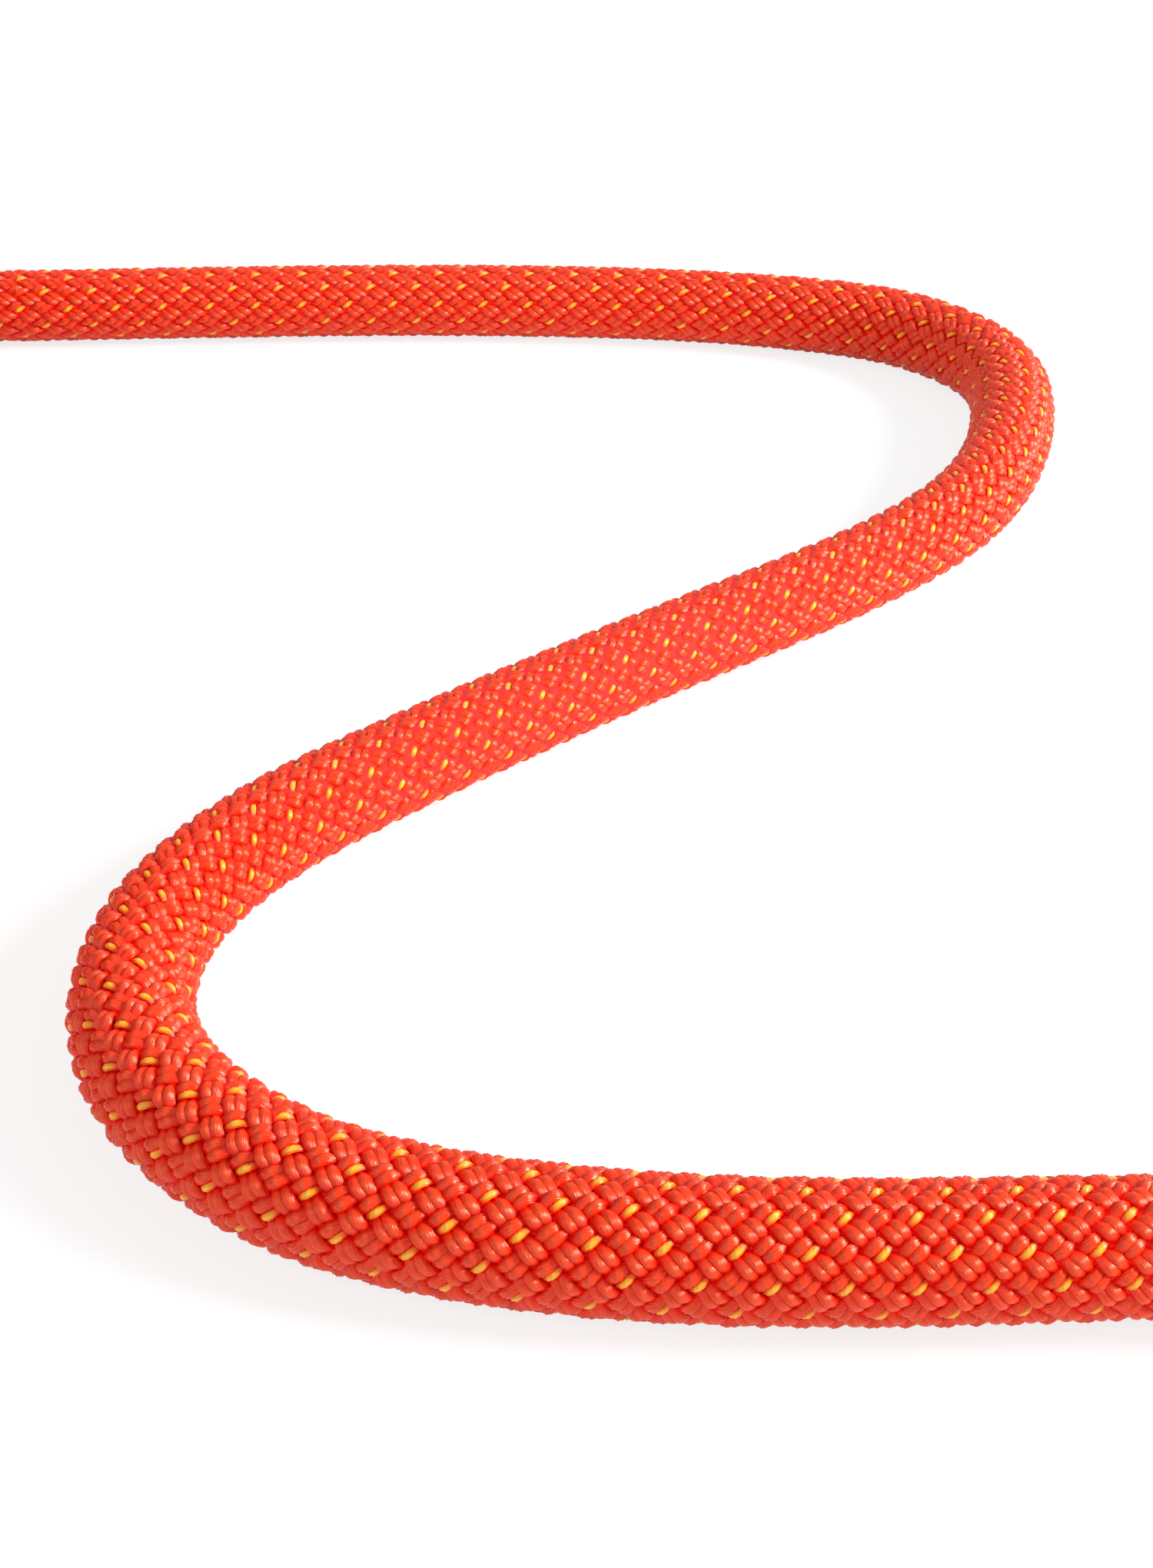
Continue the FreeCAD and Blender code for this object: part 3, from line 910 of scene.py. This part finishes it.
def tieGuide(name, degrees):
    # a tie's lines, first out from the coil's axis and up, then placed at the tie's angle
    reach = rope["diameter"] / 2 + tie["clearance"] + tie["thickness"] / 2
    loop = tapeLoop(bundleCorners(degrees), reach)
    upper = loop[loop[:, 1] > loop[:, 1].max() - tie["topDepth"]]
    upper = upper[np.argsort(upper[:, 0])]

    def top(out):
        return np.interp(out, upper[:, 0], upper[:, 1])

    tailStart = (upper[0, 0] + upper[-1, 0] - tie["tail"]) / 2
    out = np.arange(tailStart + tie["tail"], tailStart - tie["tailRamp"], -tie["ringSpacing"])
    climb = np.clip((out - tailStart + tie["tailRamp"]) / tie["tailRamp"], 0, 1)
    tail = np.stack([out, top(out) + tie["thickness"] * climb * climb * (3 - 2 * climb)], 1)

    radial = np.append(towards(degrees), 0)
    aside = np.array((-radial[1], radial[0], 0))
    upright = np.array((0, 0, 1.0))
    known = {"centre": [], "side": [], "rise": [], "along": [], "sewn": []}
    edges = []

    def lay(centres, rises, alongs, sewn, closed):
        # adds one line to the guide
        first = sum(len(held) for held in known["centre"])
        count = len(centres)
        edges.extend((first + i, first + (i + 1) % count) for i in range(count if closed else count - 1))
        values = (centres, np.tile(aside, (count, 1)), rises, alongs, np.full(count, sewn))
        for held, more in zip(known.values(), values):
            held.append(more)

    for line, closed in ((loop, True), (tail, False)):
        ahead = np.roll(line, -1, axis=0) - np.roll(line, 1, axis=0) if closed else np.gradient(line, axis=0)
        ahead = unit(ahead)
        centres = np.outer(line[:, 0], radial) + np.outer(line[:, 1], upright)
        rises = np.outer(ahead[:, 1], radial) - np.outer(ahead[:, 0], upright)
        lay(centres, rises, distanceAlong(line), 0.0, closed)

    # the seam: a box with its two diagonals
    halfLong, halfWide = (size / 2 for size in tie["stitchBox"])
    corners = ((-halfLong, -halfWide), (halfLong, -halfWide), (halfLong, halfWide), (-halfLong, halfWide))
    middle = tailStart + tie["tail"] / 2
    for track in (corners + corners[:1], corners[::2], corners[1::2]):
        beside, across = np.array(track).T
        out = middle + beside
        height = top(out) + tie["stitchRise"] * tie["thickness"]
        centres = np.outer(out, radial) + np.outer(across, aside) + np.outer(height, upright)
        lay(centres, np.tile(upright, (len(track), 1)), np.zeros(len(track)), 1.0, False)
    return lineMesh(name, edges, {label: np.concatenate(held) for label, held in known.items()})


def tieTree(inputs):
    tree, given, identifiers = newTree("sewnTape", inputs)
    add = partial(addNode, tree)
    read = readGuide(tree, "along", "sewn", "acrossTape", "throughTape")
    isSewn = add(maths, [read["sewn"], 0.5], operation="GREATER_THAN")[0]
    parted = add("GeometryNodeSeparateGeometry", {"Geometry": given["Geometry"], "Selection": isSewn},
                 domain="POINT")
    line = add("GeometryNodeMeshToCurve", [parted[1]])[0]
    section = add("GeometryNodeCurvePrimitiveQuadrilateral",
                  {"Width": given["width"], "Height": given["thickness"]})[0]
    section = add("GeometryNodeFilletCurve", {
        "Curve": section, "Count": given["edgeSteps"], "Radius": given["edgeRadius"]}, mode="POLY")[0]
    place = add("ShaderNodeSeparateXYZ", [add("GeometryNodeInputPosition")[0]])
    for label, value in (("acrossTape", place["X"]), ("throughTape", place["Y"])):
        section = add(storeAttribute, {"Geometry": section, "Name": label, "Value": value},
                      data_type="FLOAT", domain="POINT")[0]
    tape = add("GeometryNodeCurveToMesh", {"Curve": line, "Profile Curve": section, "Fill Caps": True})[0]

    # ribs across the tape stand up on both of its faces
    ribs = add(maths, [read["along"], given["ribPitch"]], operation="DIVIDE")[0]
    ribs = add(maths, [ribs, 2 * math.pi], operation="MULTIPLY")[0]
    ribs = add(maths, [ribs], operation="SINE")[0]
    face = add(maths, [read["throughTape"]], operation="SIGN")[0]
    ribs = add(maths, [ribs, face], operation="MULTIPLY")[0]
    through = add(maths, [ribs, given["ribHeight"], read["throughTape"]], operation="MULTIPLY_ADD")[0]
    tape = placeBeside(tree, read, tape, read["acrossTape"], through)
    tape = mapOutwards(tree, tape, read["along"], read["acrossTape"])

    # stitches: short threads end to end along the seam
    seam = add("GeometryNodeMeshToCurve", [parted[0]])[0]
    spots = add("GeometryNodeCurveToPoints", {"Curve": seam, "Length": given["stitchPitch"]}, mode="LENGTH")
    stitch = add("GeometryNodeMeshUVSphere", {"Segments": 8, "Rings": 6, "Radius": 1.0})[0]
    stitch = add(storeAttribute, {"Geometry": stitch, "Name": "thread", "Value": 1.0},
                 data_type="FLOAT", domain="POINT")[0]
    halfLength = add(maths, [given["stitchLength"], 0.5], operation="MULTIPLY")[0]
    size = add("ShaderNodeCombineXYZ", [given["stitchRadius"], given["stitchRadius"], halfLength])[0]
    threads = add("GeometryNodeInstanceOnPoints", {
        "Points": spots["Points"], "Instance": stitch, "Rotation": spots["Rotation"], "Scale": size})[0]
    both = add("GeometryNodeJoinGeometry", [threads])[0]
    tree.links.new(tape, both.node.inputs[0])
    isThread = add("GeometryNodeInputNamedAttribute", {"Name": "thread"}, data_type="FLOAT")[0]
    finishTree(tree, both, True, (None, given["tape"]), (isThread, given["thread"]))
    return tree, identifiers


def tapeMaterial():
    # woven polyamide tape: a matt cloth with a fine grain of over-and-under threads
    material, tree, surface = newMaterial("wovenPolyamideTape")
    add = partial(addNode, tree)
    place = readMap(tree)
    waves = []
    for axis, pitch in (("X", tie["ribPitch"]), ("Y", tie["warpPitch"])):
        turns = add(maths, [place[axis], math.pi / pitch], operation="MULTIPLY")[0]
        waves.append(add(maths, [turns], operation="SINE")[0])
    grain = add(maths, waves, operation="MULTIPLY")[0]
    shade = add(mapRange, {"Value": grain, "From Min": -1.0})[0]
    dark, light = (toLinear(colour) for colour in tie["tapeColours"])
    colour = add("ShaderNodeMix", {0: shade, 6: dark, 7: light}, data_type="RGBA")[2]
    relief = add("ShaderNodeBump", {"Height": shade, "Strength": 1.0, "Distance": tie["weaveDepth"]})[0]
    setInputs(tree, surface, {
        "Base Color": colour, "Normal": relief, "Roughness": tie["tapeRoughness"],
        "Sheen Weight": tie["tapeSheen"],
    })
    return material


def makeTies():
    sizes = ("width", "thickness", "edgeRadius", "edgeSteps", "ribPitch", "ribHeight", "stitchPitch",
             "stitchLength", "stitchRadius")
    inputs = {size: tie[size] for size in sizes}
    inputs["tape"] = tapeMaterial()
    inputs["thread"] = plainMaterial("polyesterSewingThread", tie["threadColour"], tie["threadRoughness"])
    tree, identifiers = tieTree(inputs)
    pieces = []
    for index, degrees in enumerate(tie["angles"]):
        name = "coil_tie_" + str(index + 1) + "_sewn"
        pieces.append(grow(name, tieGuide(name, degrees), tree, identifiers, inputs))
    return pieces


tiePieces = makeTies()
print("stage: ties")

pieceSlots = [(piece, "sheath") for piece in [ropeBody] + braidPieces + coilPieces]
pieceSlots += [(piece, "seal" if "seal" in piece.name else "sleeve") for piece in endPieces]
pieceSlots += [(piece, "tie") for piece in tiePieces]
for piece, slot in pieceSlots:
    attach(piece, "root")
coreStrands = ["core_strand_" + part + "_" + str(i + 1)
               for part in ("run", "coil") for i in range(rope["coreStrands"])]
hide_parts("sheath_run", "sheath_coil", *coreStrands)
for piece in endPieces + tiePieces:
    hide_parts(piece.name.rsplit("_", 1)[0])


# Surroundings: a pale floor, soft lamps and a white backdrop
studio = {
    "floorColour": "#FAFAFA",
    "floorRoughness": 0.9,
    "floorSize": 4.0,
    "floorHeight": -0.1 * mm,   # just under what stands on it
    "floorGlow": 0.8,           # share of the floor that shows as plain white, the rest keeps the shadow
    "floorFade": (0.35, 1.2),   # metres from the middle: from here to here the floor turns into the backdrop
    "surroundLight": 0.55,
    "keyLamp": ((1.0, -0.10, 0.50), 0.3, 18.0),     # place, size and power
    "fillLamp": ((-0.5, -0.7, 0.9), 0.8, 4.0),
    "aim": (0.17, 0.0, 0.0),
}


def seenDirectly(tree):
    # 1 for the camera and in reflections and glass, 0 for all other light
    rays = addNode(tree, "ShaderNodeLightPath")
    direct = rays["Is Camera Ray"]
    for kind in ("Is Glossy Ray", "Is Transmission Ray"):
        direct = addNode(tree, maths, [direct, rays[kind]], operation="MAXIMUM")[0]
    return direct


def makeWorld():
    world = bpy.data.worlds.new("surround")
    world.use_nodes = True
    scene.world = world
    tree = world.node_tree
    tree.nodes.clear()
    strength = addNode(tree, mapRange, {
        "Value": seenDirectly(tree), "To Min": studio["surroundLight"], "To Max": 1.0})[0]
    light = addNode(tree, "ShaderNodeBackground", {"Color": (1, 1, 1, 1), "Strength": strength})[0]
    addNode(tree, "ShaderNodeOutputWorld", {"Surface": light})


def makeFloor():
    half, height = studio["floorSize"] / 2, studio["floorHeight"]
    corners = ((-half, -half, height), (half, -half, height), (half, half, height), (-half, half, height))
    mesh = bpy.data.meshes.new("floor")
    mesh.from_pydata(corners, [], [(0, 1, 2, 3)])
    material = plainMaterial("paleFloor", studio["floorColour"], studio["floorRoughness"])
    mesh.materials.append(material)
    tree = material.node_tree
    add = partial(addNode, tree)
    glow = add("ShaderNodeEmission", {"Color": (1, 1, 1, 1), "Strength": 1.0})[0]
    place = add("ShaderNodeTexCoord")["Object"]
    distance = add(vectorMaths, [place], operation="LENGTH")["Value"]
    near, far = studio["floorFade"]
    share = add(mapRange, {
        "Value": distance, "From Min": near, "From Max": far,
        "To Min": studio["floorGlow"], "To Max": 1.0})[0]
    share = add(maths, [seenDirectly(tree), share], operation="MULTIPLY")[0]
    mixed = add("ShaderNodeMixShader", [share, tree.nodes["Principled BSDF"].outputs[0], glow])[0]
    tree.links.new(mixed, tree.nodes["Material Output"].inputs["Surface"])
    newObject("floor", mesh)


def makeLamp(name, position, size, power):
    data = bpy.data.lights.new(name, "AREA")
    data.size = size
    data.energy = power
    lamp = newObject(name, data)
    lamp.location = position
    lamp.rotation_euler = (Vector(studio["aim"]) - Vector(position)).to_track_quat("-Z", "Y").to_euler()


makeWorld()
makeFloor()
for lampName in ("keyLamp", "fillLamp"):
    makeLamp(lampName, *studio[lampName])
print("stage: surroundings")
